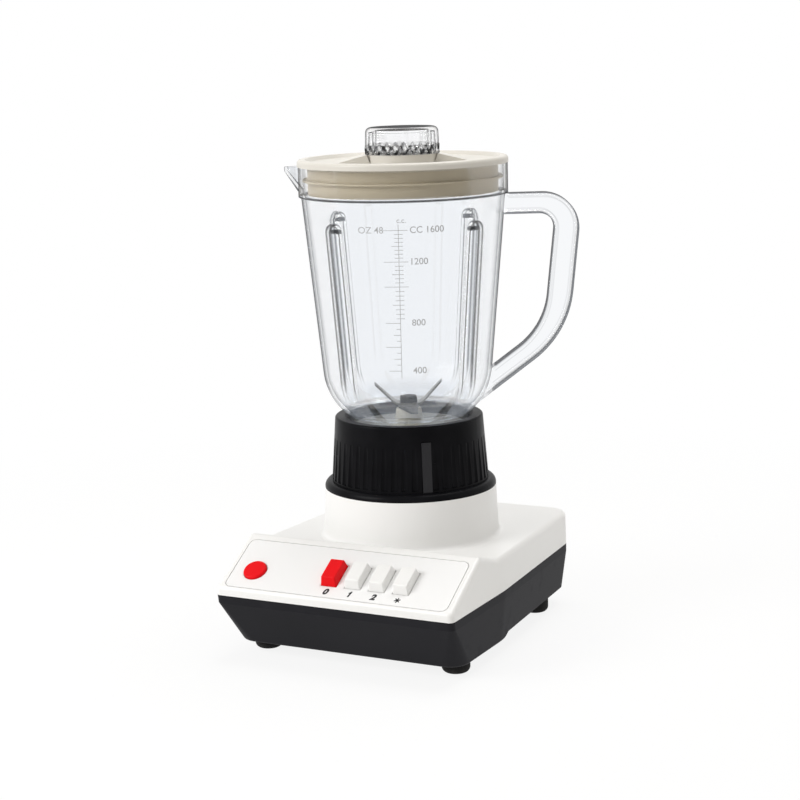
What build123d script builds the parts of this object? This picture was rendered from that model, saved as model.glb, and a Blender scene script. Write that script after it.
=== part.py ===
"""Countertop blender: motor base with keys, twist-off jar on a collar with its cutter, lid and cap.

The spindle is the Z axis, the table is Z = 0 and the control panel faces -Y. Sizes are in mm.
"""

import os
from math import cos, radians, sin, tan

from build123d import *

os.makedirs("parts", exist_ok=True)

# Plan of the base at the seam between the two casings
base_front = 124.5
base_back = 103.0
front_half = 91.0
crease_bulge = 0.5
crease_front = 41.0
back_taper = 8.5
front_corner = 4.0
back_corner = 15.0
crease_round = 60.0
inside_corner = 1.0

# Lower casing
seam_height = 47.0
casing_wall = 2.6
band_drop = 6.0
band_lean = 1.0
front_lean = 19.5
side_lean = 3.5
back_lean = 3.5
pan_corner = 15.0
pan_edge = 3.0
front_pan_height = 9.0
rear_pan_height = 13.5
pan_step_front = 37.0
pan_step_run = 10.0
vent_count = 7
vent_length = 34.0
vent_width = 3.0
vent_pitch = 7.0
vent_back = 52.0

# Upper casing: sloped panel, ridge, deck and pedestal
deck_rise = 24.5
casing_draft = 1.2
casing_edge = 3.5
front_lip = 5.6
panel_slope = 30.0
panel_run = 47.5
ridge_fall = 27.0
ridge_round = 6.0
ridge_foot_round = 10.0
pedestal_rise = 35.0
pedestal_foot_radius = 63.2
pedestal_top_radius = 61.7
pedestal_flare = 3.5
roof_wall = 3.0
platform_radius = 50.0
platform_rise = 9.0
keyway_count = 4
keyway_width = 7.2
keyway_depth = 4.6
shaft_port_radius = 9.0

# Control panel, measured up the slope from its lower edge
plate_margin = 6.0
plate_low = 2.5
plate_high = 48.5
plate_corner = 4.5
plate_thick = 1.2
plate_gap = 0.6
key_low_edge = 12.8
key_length = 20.8
key_width = 12.0
key_pitch = 18.25
key_first_x = -7.2
key_height = 6.2
key_bevel = 2.6
key_draft = 0.7
key_edge = 1.0
key_gap = 0.4
key_travel = 4.0
key_rim = 1.6
key_rim_thick = 1.6
button_margin = 17.0
button_up = 19.2
button_radius = 8.4
button_height = 1.9
button_dome = 1.3
button_travel = 2.0
stem_radius = 2.6
stem_length = 8.0
switch_clearance = 0.5
switch_depth = 14.0
switch_margin = 4.0
button_switch_radius = 7.0
board_thick = 2.0
board_margin = 11.0
board_post_radius = 3.5

# Feet, casing screws and cord inlet
foot_radius = 9.8
foot_round = 4.0
foot_stem_radius = 3.4
front_foot_inset = 17.5
front_foot_y = -84.0
rear_foot_inset = 14.5
rear_foot_y = 66.0
screw_radius = 2.0
screw_head_radius = 3.6
screw_head_thick = 2.4
screw_bite = 14.0
screw_gap = 0.2
boss_wall = 3.0
front_boss_inset = 21.0
front_boss_y = -54.0
rear_boss_inset = 20.5
rear_boss_y = 40.0
inlet_radius = 6.0
inlet_bore = 3.4
inlet_flange = 2.0
inlet_flange_thick = 2.0
inlet_rise = 16.0

# Motor, hung from the roof of the platform
shaft_radius = 4.0
running_gap = 0.05
air_gap = 0.5
fan_radius = 33.0
fan_height = 7.5
fan_plate = 1.6
fan_blade = 1.6
fan_blade_count = 9
fan_hub_radius = 8.0
fan_floor_gap = 2.0
bracket_thick = 4.0
bracket_half_x = 45.0
bracket_half_y = 34.0
bracket_corner = 8.0
bracket_window = 12.0
bush_radius = 7.0
bush_over = 1.0
bracket_hub_radius = 11.0
stack_height = 32.0
rotor_radius = 20.0
rotor_slot_count = 12
rotor_slot_width = 3.0
rotor_slot_depth = 6.0
slot_liner = 0.2
end_turn_height = 6.0
end_turn_inner = 9.0
commutator_radius = 11.0
commutator_height = 10.0
commutator_slot = 0.8
stator_half_x = 40.0
stator_half_y = 34.0
stator_corner = 6.0
field_slot_x = 6.0
field_slot_width = 10.0
field_slot_reach = 29.0
field_leg = 6.0
field_gap = 0.5
field_turn_reach = 29.5
field_turn_height = 7.0
pillar_x = 35.5
pillar_y = 29.0
pillar_radius = 4.0
bolt_radius = 2.0
brush_width = 6.0
brush_height = 7.0
brush_length = 14.0
brush_gap = 0.3
holder_wall = 2.0
holder_length = 15.0
hanger_x = 39.0
hanger_y = 14.0
hanger_radius = 5.0
damper_thick = 2.5

# Coupling between motor and cutter
coupling_gap = 1.0
coupling_core = 9.5
coupling_reach = 14.5
coupling_lobe = 6.0
coupling_lobe_count = 3
coupling_height = 8.5
coupling_play = 0.6
driven_radius = 19.0
driven_height = 14.0

# Collar of the jar unit
collar_height = 51.7
flange_radius = 61.7
flange_thick = 5.2
flange_round = 4.4
collar_low_radius = 56.4
collar_top_radius = 53.0
collar_round = 1.6
collar_bevel = 3.0
collar_rib_count = 48
collar_rib_depth = 0.8
collar_rib_radius = 3.0
collar_rib_band = 13.5
collar_rib_tilt = 2.0
grip_bar_count = 3
grip_bar_width = 6.6
grip_bar_proud = 1.6
grip_bar_top = 11.0
grip_bar_turn = 11.8
ledge_rise = 27.5
ledge_thick = 4.0
ledge_radius = 34.0
seat_gap = 0.5

# Cutter and its carrier
carrier_flange_thick = 3.0
carrier_wall = 2.5
carrier_gap = 0.8
floor_rise = 14.0
floor_thick = 3.0
hub_height = 11.0
hub_low_radius = 10.6
hub_top_radius = 9.0
hub_flute_count = 10
hub_flute_radius = 2.0
hub_flute_depth = 0.9
blade_bush_radius = 6.5
seal_radius = 7.0
seal_height = 4.5
seal_recess = 5.0
boss_drop = 2.0
washer_radius = 7.4
washer_thick = 1.2
cutter_gap = 0.4
blade_thick = 1.5
blade_width = 13.0
blade_tip_width = 5.0
blade_bend = 9.0
upper_blade_reach = 24.0
upper_blade_lift = 15.0
lower_blade_reach = 28.0
lower_blade_drop = 0.8
blade_flat = 9.0
nut_flats = 12.0
nut_height = 4.6
nut_dome = 1.4

# Jar
jar_turn = 27.0
jar_wall = 2.6
neck_radius = 42.8
gasket_thick = 2.5
neck_over = 0.9
shoulder_low_radius = 46.5
shoulder_low_rise = 3.8
shoulder_radius = 60.2
shoulder_rise = 32.0
jar_top_radius = 71.9
jar_wall_rise = 157.3
rim_radius = 73.7
rim_height = 21.0
rim_wall = 2.9
flute_count = 4
flute_radius = 7.0
flute_depth = 3.6
flute_top_drop = 22.5
spout_reach = 85.0
spout_half_width = 17.0
spout_height = 20.0
spout_run = 13.5
spout_round = 2.5
spout_wall = 2.2

# Handle, in the plane of the jar's axis, drawn as three straight runs with rounded corners
handle_width = 22.0
handle_edge = 5.0
handle_reach = 126.0
handle_drop = 1.2
handle_bar = 14.5
handle_grip = 17.5
handle_arm = 13.8
handle_corner = 25.0
knee_reach = 115.2
knee_rise = 56.0
knee_round = 70.0
root_rise = 5.2

# Lid and cap
lip_radius = 74.2
lip_height = 4.8
lip_round = 2.2
lip_width = 8.0
dish_drop = 2.4
dish_fall = 1.0
lid_wall = 2.4
skirt_gap = 3.8
skirt_depth = 19.5
seal_drop = 9.0
wiper_thick = 1.4
wiper_bite = 1.6
wiper_gap = 0.3
cap_collar_radius = 25.0
cap_collar_rise = 7.3
cap_bore = 21.5
sleeve_depth = 10.0
wing_reach = 44.5
wing_width = 24.0
cap_radius = 26.1
cap_top_radius = 25.5
cap_height = 18.6
cap_round = 3.6
cap_wall = 2.2
cap_gap = 0.6
cap_plug_depth = 14.0

# Widths that follow from the sizes above
crease_half = front_half + crease_bulge
back_half = front_half - back_taper
plate_half_width = front_half - plate_margin
button_x = button_margin - plate_half_width
front_foot_x = front_half - front_foot_inset
rear_foot_x = back_half - rear_foot_inset
front_boss_x = front_half - front_boss_inset
rear_boss_x = back_half - rear_boss_inset

# Heights that follow from the sizes above
deck_z = seam_height + deck_rise
pedestal_z = deck_z + pedestal_rise
platform_z = pedestal_z + platform_rise
panel_low_z = seam_height + front_lip
ridge_z = panel_low_z + panel_run * tan(radians(panel_slope))
floor_top_z = rear_pan_height + casing_wall
fan_z = floor_top_z + fan_floor_gap
lower_bracket_z = fan_z + fan_height + bush_over + coupling_gap
commutator_z = lower_bracket_z + bracket_thick + 2 * bush_over
stack_z = commutator_z + commutator_height + end_turn_height + air_gap
stack_top_z = stack_z + stack_height
upper_bracket_z = stack_top_z + field_turn_height + coupling_gap + bush_over
hanger_z = upper_bracket_z + bracket_thick + damper_thick
coupling_z = platform_z + coupling_gap
collar_z = pedestal_z + collar_height
ledge_z = pedestal_z + ledge_rise
gasket_z = ledge_z + carrier_flange_thick
neck_z = gasket_z + gasket_thick
floor_z = ledge_z + carrier_flange_thick + floor_rise
hub_z = floor_z + hub_height
cutter_z = hub_z + cutter_gap
lower_blade_z = cutter_z + washer_thick
upper_blade_z = lower_blade_z + blade_thick
nut_z = upper_blade_z + blade_thick
driven_z = coupling_z + coupling_play + cutter_gap
shoulder_z = collar_z + shoulder_rise
rim_band_z = collar_z + jar_wall_rise
rim_z = rim_band_z + rim_height
lip_z = rim_z + lip_height
cap_z = rim_z + cap_collar_rise

# Planes that several pieces share
panel_plane = Plane(
    origin=(0, -base_front, panel_low_z),
    x_dir=(1, 0, 0),
    z_dir=(0, -sin(radians(panel_slope)), cos(radians(panel_slope))),
)
jar_x = Vector(cos(radians(jar_turn)), sin(radians(jar_turn)), 0)
jar_side = Plane(origin=(0, 0, 0), x_dir=jar_x, z_dir=(jar_x.Y, -jar_x.X, 0))
jar_cross = Plane(origin=(0, 0, 0), x_dir=(-jar_x.Y, jar_x.X, 0), z_dir=jar_x)
jar_plan = Plane(origin=(0, 0, 0), x_dir=jar_x, z_dir=(0, 0, 1))

# Places that several pieces share
key_names = ["key_off", "key_low", "key_high", "key_pulse"]
key_middle = key_low_edge + key_length / 2
key_places = [(key_first_x + key_pitch * number, key_middle) for number in range(len(key_names))]
button_place = (button_x, button_up)
front_bosses = [(-front_boss_x, front_boss_y), (front_boss_x, front_boss_y)]
rear_bosses = [(-rear_boss_x, rear_boss_y), (rear_boss_x, rear_boss_y)]
casing_bosses = front_bosses + rear_bosses
front_feet = [(-front_foot_x, front_foot_y), (front_foot_x, front_foot_y)]
rear_feet = [(-rear_foot_x, rear_foot_y), (rear_foot_x, rear_foot_y)]
pillars = [(x, y) for x in (-pillar_x, pillar_x) for y in (-pillar_y, pillar_y)]
hangers = [(x, y) for x in (-hanger_x, hanger_x) for y in (-hanger_y, hanger_y)]
rim_depth = casing_wall + key_rim_thick
switch_z = rim_depth + key_travel + switch_clearance
button_switch_z = rim_depth + button_travel + switch_clearance
board_z = switch_z + switch_depth
board_low_x = button_x - button_switch_radius - board_margin
board_high_x = key_places[-1][0] + key_width / 2 + switch_margin + board_margin
board_mid_x = (button_x + key_first_x) / 2
board_posts = [
    (board_low_x + board_post_radius, button_up),
    (board_mid_x, button_up),
    (board_high_x - board_post_radius, button_up),
]


def base_outline(level, front, side, back, near_corner, far_corner):
    """Plan of the base at one level, drawn in from the seam's outline."""
    with BuildSketch(Plane.XY.offset(level)) as outline:
        with BuildLine():
            Polyline(
                (front_half - side, front - base_front),
                (crease_half - side, -crease_front),
                (back_half - side, base_back - back),
                (side - back_half, base_back - back),
                (side - crease_half, -crease_front),
                (side - front_half, front - base_front),
                close=True,
            )
        make_face()
        fillet(outline.vertices().group_by(Axis.Y)[-1], far_corner)
        fillet(outline.vertices().group_by(Axis.Y)[1], crease_round)
        fillet(outline.vertices().group_by(Axis.Y)[0], near_corner)
    return outline.sketch


def upper_form(wall):
    """Casing above the seam as a full solid, drawn in by a wall on every side but the seam."""
    with BuildPart() as form:
        near = max(front_corner - wall, inside_corner)
        extrude(
            base_outline(seam_height, wall, wall, wall, near, back_corner - wall),
            amount=ridge_z - seam_height,
            taper=casing_draft,
        )
        with BuildSketch(Plane.YZ) as side:
            with BuildLine():
                Polyline(
                    (-base_front, seam_height - wall),
                    (-base_front, panel_low_z),
                    (panel_run - base_front, ridge_z),
                    (panel_run + ridge_fall - base_front, deck_z),
                    (base_back, deck_z),
                    (base_back, seam_height - wall),
                    close=True,
                )
            make_face()
            corners = side.vertices().sort_by(Axis.Y)
            fillet(corners[-1], ridge_round)
            fillet(side.vertices().filter_by_position(Axis.X, -base_front / 2, -1), ridge_foot_round)
            if wall:
                offset(amount=-wall)
        extrude(amount=front_half + back_half, both=True, mode=Mode.INTERSECT)
    return form


def pedestal_form(foot_radius, top_radius, flare, low, high):
    """Round pedestal with a flared foot, as a full solid."""
    with BuildPart() as form:
        with BuildSketch(Plane.XZ):
            with BuildLine():
                Polyline(
                    (foot_radius, deck_z + flare),
                    (top_radius, high),
                    (0, high),
                    (0, low),
                    (foot_radius + flare, low),
                )
                Line((foot_radius + flare, low), (foot_radius + flare, deck_z))
                RadiusArc((foot_radius + flare, deck_z), (foot_radius, deck_z + flare), flare)
            make_face()
        revolve(axis=Axis.Z)
    return form


# White upper casing: panel slope, ridge, deck, pedestal and keyed platform in one hollow moulding
upper_shape = upper_form(0)
upper_hollow = upper_form(casing_wall)
pedestal_shape = pedestal_form(
    pedestal_foot_radius, pedestal_top_radius, pedestal_flare, deck_z - casing_wall / 2, pedestal_z
)
with BuildPart() as upper_housing:
    add(upper_shape.part)
    low_edge_z = panel_low_z - plate_gap
    fillet(upper_housing.edges().filter_by_position(Axis.Z, low_edge_z, ridge_z + casing_edge), casing_edge)
    add(pedestal_shape.part)
    # Platform that the collar drops over, with its keyways
    with BuildSketch(Plane.XY.offset(pedestal_z)):
        Circle(platform_radius)
        with PolarLocations(platform_radius, keyway_count, start_angle=180 / keyway_count):
            Rectangle(2 * keyway_depth, keyway_width, mode=Mode.SUBTRACT)
    extrude(amount=platform_rise)
    # Hollow inside, open at the seam
    add(upper_hollow.part, mode=Mode.SUBTRACT)
    with BuildSketch(Plane.XZ):
        with BuildLine():
            Polyline(
                (0, deck_z - 2 * casing_wall),
                (pedestal_foot_radius - casing_wall, deck_z - 2 * casing_wall),
                (pedestal_top_radius - casing_wall, pedestal_z - roof_wall),
                (platform_radius - keyway_depth - roof_wall, pedestal_z - roof_wall),
                (platform_radius - keyway_depth - roof_wall, platform_z - roof_wall),
                (0, platform_z - roof_wall),
                close=True,
            )
        make_face()
    revolve(axis=Axis.Z, mode=Mode.SUBTRACT)
    # Bosses for the casing screws and hangers for the motor
    with BuildSketch(Plane.XY.offset(seam_height)):
        with Locations(*casing_bosses):
            Circle(screw_radius + boss_wall)
    extrude(amount=deck_rise - casing_wall / 2)
    with BuildSketch(Plane.XY.offset(hanger_z)):
        with Locations(*hangers):
            Circle(hanger_radius)
    extrude(amount=platform_z - roof_wall / 2 - hanger_z)
    # Posts for the switch board
    with BuildSketch(panel_plane.offset(-board_z)):
        with Locations(*board_posts):
            Circle(board_post_radius)
    extrude(amount=board_z - casing_wall / 2)
    # Screw holes and the shaft's way out
    with BuildSketch(Plane.XY.offset(seam_height)):
        with Locations(*casing_bosses):
            Circle(screw_radius)
    extrude(amount=screw_bite, mode=Mode.SUBTRACT)
    with BuildSketch(Plane.XY.offset(hanger_z)):
        with Locations(*hangers):
            Circle(bolt_radius)
    extrude(amount=platform_z - 2 * roof_wall - hanger_z, mode=Mode.SUBTRACT)
    with BuildSketch(Plane.XY.offset(platform_z)):
        Circle(shaft_port_radius)
    extrude(amount=-2 * roof_wall, mode=Mode.SUBTRACT)
    # Recess for the plate, key slots and button hole
    with BuildSketch(panel_plane):
        with Locations((0, (plate_low + plate_high) / 2)):
            RectangleRounded(
                2 * (plate_half_width + plate_gap),
                plate_high - plate_low + 2 * plate_gap,
                plate_corner + plate_gap,
            )
    extrude(amount=-plate_thick, mode=Mode.SUBTRACT)
    with BuildSketch(panel_plane):
        with Locations(*key_places):
            Rectangle(key_width + 2 * key_gap, key_length + 2 * key_gap)
        with Locations(button_place):
            Circle(button_radius + key_gap)
    extrude(amount=-2 * casing_wall, mode=Mode.SUBTRACT)
upper_housing.part.label = "upper_housing"
export_step(upper_housing.part, "parts/upper_housing.step")


def lower_form(wall):
    """Casing under the seam as a full solid, drawn in by a wall on every side but the seam."""
    with BuildPart() as form:
        near = max(front_corner - wall, inside_corner)
        far = back_corner - wall
        low = front_pan_height + wall
        loft(
            sections=[
                base_outline(seam_height, wall, wall, wall, near, far),
                base_outline(seam_height - band_drop, wall + band_lean, wall, wall, near, far),
            ],
            ruled=True,
        )
        loft(
            sections=[
                base_outline(seam_height - band_drop, wall + band_lean, wall, wall, near, far),
                base_outline(
                    low, wall + front_lean, wall + side_lean, wall + back_lean, pan_corner - wall, far
                ),
            ],
            ruled=True,
        )
        # The pan is shallower from its step to the back
        with BuildSketch(Plane.YZ):
            with BuildLine():
                Polyline(
                    (wall - pan_step_front, low),
                    (wall - pan_step_front + pan_step_run, rear_pan_height + wall),
                    (2 * base_back, rear_pan_height + wall),
                    (2 * base_back, 0),
                    (wall - pan_step_front, 0),
                    close=True,
                )
            make_face()
        extrude(amount=2 * crease_half, both=True, mode=Mode.SUBTRACT)
    return form


# Dark lower casing: pan on four feet, with screw bosses, air slots and the cord's hole
inlet_z = rear_pan_height + inlet_rise
lower_shape = lower_form(0)
lower_hollow = lower_form(casing_wall)
with BuildPart() as lower_housing:
    add(lower_shape.part)
    fillet(lower_housing.faces().sort_by(Axis.Z)[0].edges(), pan_edge)
    add(lower_hollow.part, mode=Mode.SUBTRACT)
    for places, pan_height in ((front_bosses, front_pan_height), (rear_bosses, rear_pan_height)):
        with BuildSketch(Plane.XY.offset(pan_height + casing_wall / 2)):
            with Locations(*places):
                Circle(screw_head_radius + screw_gap + boss_wall)
        extrude(amount=seam_height - pan_height - casing_wall / 2)
    # Screw holes, with the heads sunk deep from below
    with BuildSketch(Plane.XY):
        with Locations(*casing_bosses):
            Circle(screw_head_radius + screw_gap)
    extrude(amount=seam_height - screw_bite, mode=Mode.SUBTRACT)
    with BuildSketch(Plane.XY):
        with Locations(*casing_bosses):
            Circle(screw_radius + screw_gap)
    extrude(amount=seam_height, mode=Mode.SUBTRACT)
    with BuildSketch(Plane.XY):
        with Locations(*front_feet, *rear_feet):
            Circle(foot_stem_radius)
        with Locations((0, vent_back)):
            with GridLocations(vent_pitch, 0, vent_count, 1):
                SlotOverall(vent_length, vent_width, rotation=90)
    extrude(amount=rear_pan_height + 2 * casing_wall, mode=Mode.SUBTRACT)
    # Upright pad for the cord's bush on the leaning rear wall, and its hole
    with BuildSketch(Plane.XZ.offset(-base_back)):
        with Locations((0, inlet_z)):
            Circle(inlet_radius + inlet_flange)
    extrude(amount=casing_wall + back_lean)
    with BuildSketch(Plane.XZ.offset(-base_back)):
        with Locations((0, inlet_z)):
            Circle(inlet_radius)
    extrude(amount=2 * casing_wall + 2 * back_lean, mode=Mode.SUBTRACT)
lower_housing.part.label = "lower_housing"
export_step(lower_housing.part, "parts/lower_housing.step")

# Inset plate on the slope
with BuildPart() as control_panel:
    with BuildSketch(panel_plane.offset(-plate_thick)):
        with Locations((0, (plate_low + plate_high) / 2)):
            RectangleRounded(2 * plate_half_width, plate_high - plate_low, plate_corner)
        with Locations(*key_places):
            Rectangle(key_width + 2 * key_gap, key_length + 2 * key_gap, mode=Mode.SUBTRACT)
        with Locations(button_place):
            Circle(button_radius + key_gap, mode=Mode.SUBTRACT)
    extrude(amount=plate_thick)
control_panel.part.label = "control_panel"
export_step(control_panel.part, "parts/control_panel.step")

# Four piano keys: raised top, shank in the slot, retaining rim under the casing, stem into the switch
for key_name, (key_x, key_up) in zip(key_names, key_places):
    with BuildPart() as key:
        with BuildSketch(panel_plane.offset(-rim_depth)):
            with Locations((key_x, key_up)):
                Rectangle(key_width + 2 * key_rim, key_length + 2 * key_rim)
        extrude(amount=key_rim_thick)
        with BuildSketch(panel_plane.offset(-casing_wall)):
            with Locations((key_x, key_up)):
                Rectangle(key_width, key_length)
        extrude(amount=casing_wall)
        with BuildSketch(panel_plane):
            with Locations((key_x, key_up)):
                Rectangle(key_width, key_length)
        with BuildSketch(panel_plane.offset(key_height)):
            with Locations((key_x, key_up + (key_bevel - key_draft) / 2)):
                Rectangle(key_width - 2 * key_draft, key_length - key_bevel - key_draft)
        loft()
        rising = key.edges().group_by(Axis((0, 0, 0), panel_plane.z_dir))
        fillet(rising[-1] + rising[-2], key_edge)
        with BuildSketch(panel_plane.offset(-rim_depth)):
            with Locations((key_x, key_up)):
                Circle(stem_radius)
        extrude(amount=-stem_length)
    key.part.label = key_name
    export_step(key.part, f"parts/{key_name}.step")

# Round push button at the left of the panel
with BuildPart() as round_button:
    with BuildSketch(panel_plane.offset(-rim_depth)):
        with Locations(button_place):
            Circle(button_radius + key_rim)
    extrude(amount=key_rim_thick)
    with BuildSketch(panel_plane.offset(-casing_wall)):
        with Locations(button_place):
            Circle(button_radius)
    extrude(amount=casing_wall + button_height)
    fillet(round_button.faces().sort_by(Axis((0, 0, 0), panel_plane.z_dir))[-1].edges(), button_dome)
    with BuildSketch(panel_plane.offset(-rim_depth)):
        with Locations(button_place):
            Circle(stem_radius)
    extrude(amount=-stem_length)
round_button.part.label = "round_button"
export_step(round_button.part, "parts/round_button.step")

# Switches under the keys and the button, on one board that the casing's posts carry
stem_bore_depth = stem_length + key_rim_thick + switch_clearance
switch_middle = (key_places[0][0] + key_places[-1][0]) / 2
switch_length = key_places[-1][0] - key_places[0][0] + key_width + 2 * switch_margin
with BuildPart() as switch_block:
    with BuildSketch(panel_plane.offset(-board_z)):
        with Locations((switch_middle, key_places[0][1])):
            Rectangle(switch_length, key_length)
    extrude(amount=switch_depth)
    with BuildSketch(panel_plane.offset(-switch_z)):
        with Locations(*key_places):
            Circle(stem_radius + key_gap)
    extrude(amount=-stem_bore_depth, mode=Mode.SUBTRACT)
switch_block.part.label = "switch_block"
export_step(switch_block.part, "parts/switch_block.step")

with BuildPart() as button_switch:
    with BuildSketch(panel_plane.offset(-board_z)):
        with Locations(button_place):
            Circle(button_switch_radius)
    extrude(amount=board_z - button_switch_z)
    with BuildSketch(panel_plane.offset(-button_switch_z)):
        with Locations(button_place):
            Circle(stem_radius + key_gap)
    extrude(amount=-stem_bore_depth, mode=Mode.SUBTRACT)
button_switch.part.label = "button_switch"
export_step(button_switch.part, "parts/button_switch.step")

with BuildPart() as switch_board:
    with BuildSketch(panel_plane.offset(-board_z - board_thick)):
        with Locations(((board_low_x + board_high_x) / 2, button_up)):
            Rectangle(board_high_x - board_low_x, key_length + 2 * switch_margin)
    extrude(amount=board_thick)
switch_board.part.label = "switch_board"
export_step(switch_board.part, "parts/switch_board.step")

# Rubber feet with stems through the pan
with BuildPart() as feet:
    for places, pan_height in ((front_feet, front_pan_height), (rear_feet, rear_pan_height)):
        with BuildSketch(Plane.XY):
            with Locations(*places):
                Circle(foot_radius)
        extrude(amount=pan_height)
    fillet(feet.edges().group_by(Axis.Z)[0], foot_round)
    for places, pan_height in ((front_feet, front_pan_height), (rear_feet, rear_pan_height)):
        with BuildSketch(Plane.XY.offset(pan_height)):
            with Locations(*places):
                Circle(foot_stem_radius)
        extrude(amount=casing_wall)
feet.part.label = "feet"
export_step(feet.part, "parts/feet.step")

# Screws that draw the two casings together, heads deep in the lower bosses
with BuildPart() as housing_screws:
    with BuildSketch(Plane.XY.offset(seam_height - screw_bite)):
        with Locations(*casing_bosses):
            Circle(screw_radius)
    extrude(amount=2 * screw_bite - screw_radius)
    with BuildSketch(Plane.XY.offset(seam_height - screw_bite)):
        with Locations(*casing_bosses):
            Circle(screw_head_radius)
    extrude(amount=-screw_head_thick)
housing_screws.part.label = "housing_screws"
export_step(housing_screws.part, "parts/housing_screws.step")

# Rubber bush for the mains cord in the rear wall
with BuildPart() as cord_inlet:
    with BuildSketch(Plane.XZ.offset(-base_back)):
        with Locations((0, inlet_z)):
            Circle(inlet_radius)
    extrude(amount=casing_wall + back_lean)
    with BuildSketch(Plane.XZ.offset(-base_back)):
        with Locations((0, inlet_z)):
            Circle(inlet_radius + inlet_flange)
    extrude(amount=-inlet_flange_thick)
    with BuildSketch(Plane.XZ.offset(-base_back - inlet_flange_thick)):
        with Locations((0, inlet_z)):
            Circle(inlet_bore)
    extrude(amount=2 * (casing_wall + back_lean), mode=Mode.SUBTRACT)
cord_inlet.part.label = "cord_inlet"
export_step(cord_inlet.part, "parts/cord_inlet.step")


def tube(inner, outer, low, high):
    """Plain ring about the spindle, between two heights."""
    with BuildPart() as ring:
        with BuildSketch(Plane.XY.offset(low)):
            Circle(outer)
            Circle(inner, mode=Mode.SUBTRACT)
        extrude(amount=high - low)
    return ring


def turned(*points):
    """Solid of revolution about the spindle from a closed outline of radius and height."""
    with BuildPart() as solid:
        with BuildSketch(Plane.XZ):
            with BuildLine():
                Polyline(*points, close=True)
            make_face()
        revolve(axis=Axis.Z)
    return solid


# Motor shaft, from under the fan to the drive coupling
with BuildPart() as motor_shaft:
    with BuildSketch(Plane.XY.offset(fan_z)):
        Circle(shaft_radius)
    extrude(amount=coupling_z + coupling_height - air_gap - fan_z)
motor_shaft.part.label = "motor_shaft"
export_step(motor_shaft.part, "parts/motor_shaft.step")

# Laminated rotor with its slots
with BuildPart() as rotor_core:
    with BuildSketch(Plane.XY.offset(stack_z)):
        Circle(rotor_radius)
        Circle(shaft_radius, mode=Mode.SUBTRACT)
        with PolarLocations(rotor_radius, rotor_slot_count):
            Rectangle(2 * rotor_slot_depth, rotor_slot_width, mode=Mode.SUBTRACT)
    extrude(amount=stack_height)
rotor_core.part.label = "rotor_core"
export_step(rotor_core.part, "parts/rotor_core.step")

# Rotor winding: bars in the slots and a bundle at each end
bar_depth = rotor_slot_depth - 2 * slot_liner
bar_middle = rotor_radius - rotor_slot_depth / 2
with BuildPart() as rotor_windings:
    for level in (stack_z - end_turn_height, stack_top_z):
        with BuildSketch(Plane.XY.offset(level)):
            Circle(bar_middle + bar_depth / 2)
            Circle(end_turn_inner, mode=Mode.SUBTRACT)
        extrude(amount=end_turn_height)
    with BuildSketch(Plane.XY.offset(stack_z)):
        with PolarLocations(bar_middle, rotor_slot_count):
            Rectangle(bar_depth, rotor_slot_width - 2 * slot_liner)
    extrude(amount=stack_height)
rotor_windings.part.label = "rotor_windings"
export_step(rotor_windings.part, "parts/rotor_windings.step")

# Commutator with its bars parted
with BuildPart() as commutator:
    with BuildSketch(Plane.XY.offset(commutator_z)):
        Circle(commutator_radius)
        Circle(shaft_radius, mode=Mode.SUBTRACT)
        with PolarLocations(commutator_radius, rotor_slot_count):
            Rectangle(2 * commutator_slot, commutator_slot, mode=Mode.SUBTRACT)
    extrude(amount=commutator_height)
commutator.part.label = "commutator"
export_step(commutator.part, "parts/commutator.step")

# Radial fan under the lower bracket
with BuildPart() as cooling_fan:
    with BuildSketch(Plane.XY.offset(fan_z)):
        Circle(fan_hub_radius)
        with PolarLocations((fan_radius + shaft_radius) / 2, fan_blade_count):
            Rectangle(fan_radius - shaft_radius - fan_blade, fan_blade)
    extrude(amount=fan_height)
    with BuildSketch(Plane.XY.offset(fan_z + fan_height - fan_plate)):
        Circle(fan_radius)
    extrude(amount=fan_plate)
    with BuildSketch(Plane.XY.offset(fan_z)):
        Circle(shaft_radius)
    extrude(amount=fan_height, mode=Mode.SUBTRACT)
cooling_fan.part.label = "cooling_fan"
export_step(cooling_fan.part, "parts/cooling_fan.step")

# Laminated stator with two poles and four winding slots
with BuildPart() as stator_core:
    with BuildSketch(Plane.XY.offset(stack_z)):
        RectangleRounded(2 * stator_half_x, 2 * stator_half_y, stator_corner)
        Circle(rotor_radius + air_gap, mode=Mode.SUBTRACT)
        for side in (-1, 1):
            with Locations((side * (field_slot_x + field_slot_width / 2), 0)):
                Rectangle(field_slot_width, 2 * field_slot_reach, mode=Mode.SUBTRACT)
        with Locations(*pillars):
            Circle(bolt_radius, mode=Mode.SUBTRACT)
    extrude(amount=stack_height)
stator_core.part.label = "stator_core"
export_step(stator_core.part, "parts/stator_core.step")

# Two field coils: legs in the slots, end turns bent clear of the rotor
leg_width = field_slot_width - 2 * field_gap
leg_middle = field_slot_reach - field_gap - field_leg / 2
turn_near = field_slot_x + field_gap
with BuildPart() as stator_windings:
    for side in (-1, 1):
        with BuildSketch(Plane.XY.offset(stack_z)):
            with Locations(*[(side * (turn_near + leg_width / 2), end * leg_middle) for end in (-1, 1)]):
                Rectangle(leg_width, field_leg)
        extrude(amount=stack_height)
        for level in (stack_z - field_turn_height, stack_top_z):
            with BuildSketch(Plane.XY.offset(level)):
                with Locations((side * (turn_near + field_turn_reach) / 2, 0)):
                    Rectangle(field_turn_reach - turn_near, 2 * leg_middle + field_leg)
                Circle(rotor_radius + 2 * field_gap, mode=Mode.SUBTRACT)
            extrude(amount=field_turn_height)
stator_windings.part.label = "stator_windings"
export_step(stator_windings.part, "parts/stator_windings.step")


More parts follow.
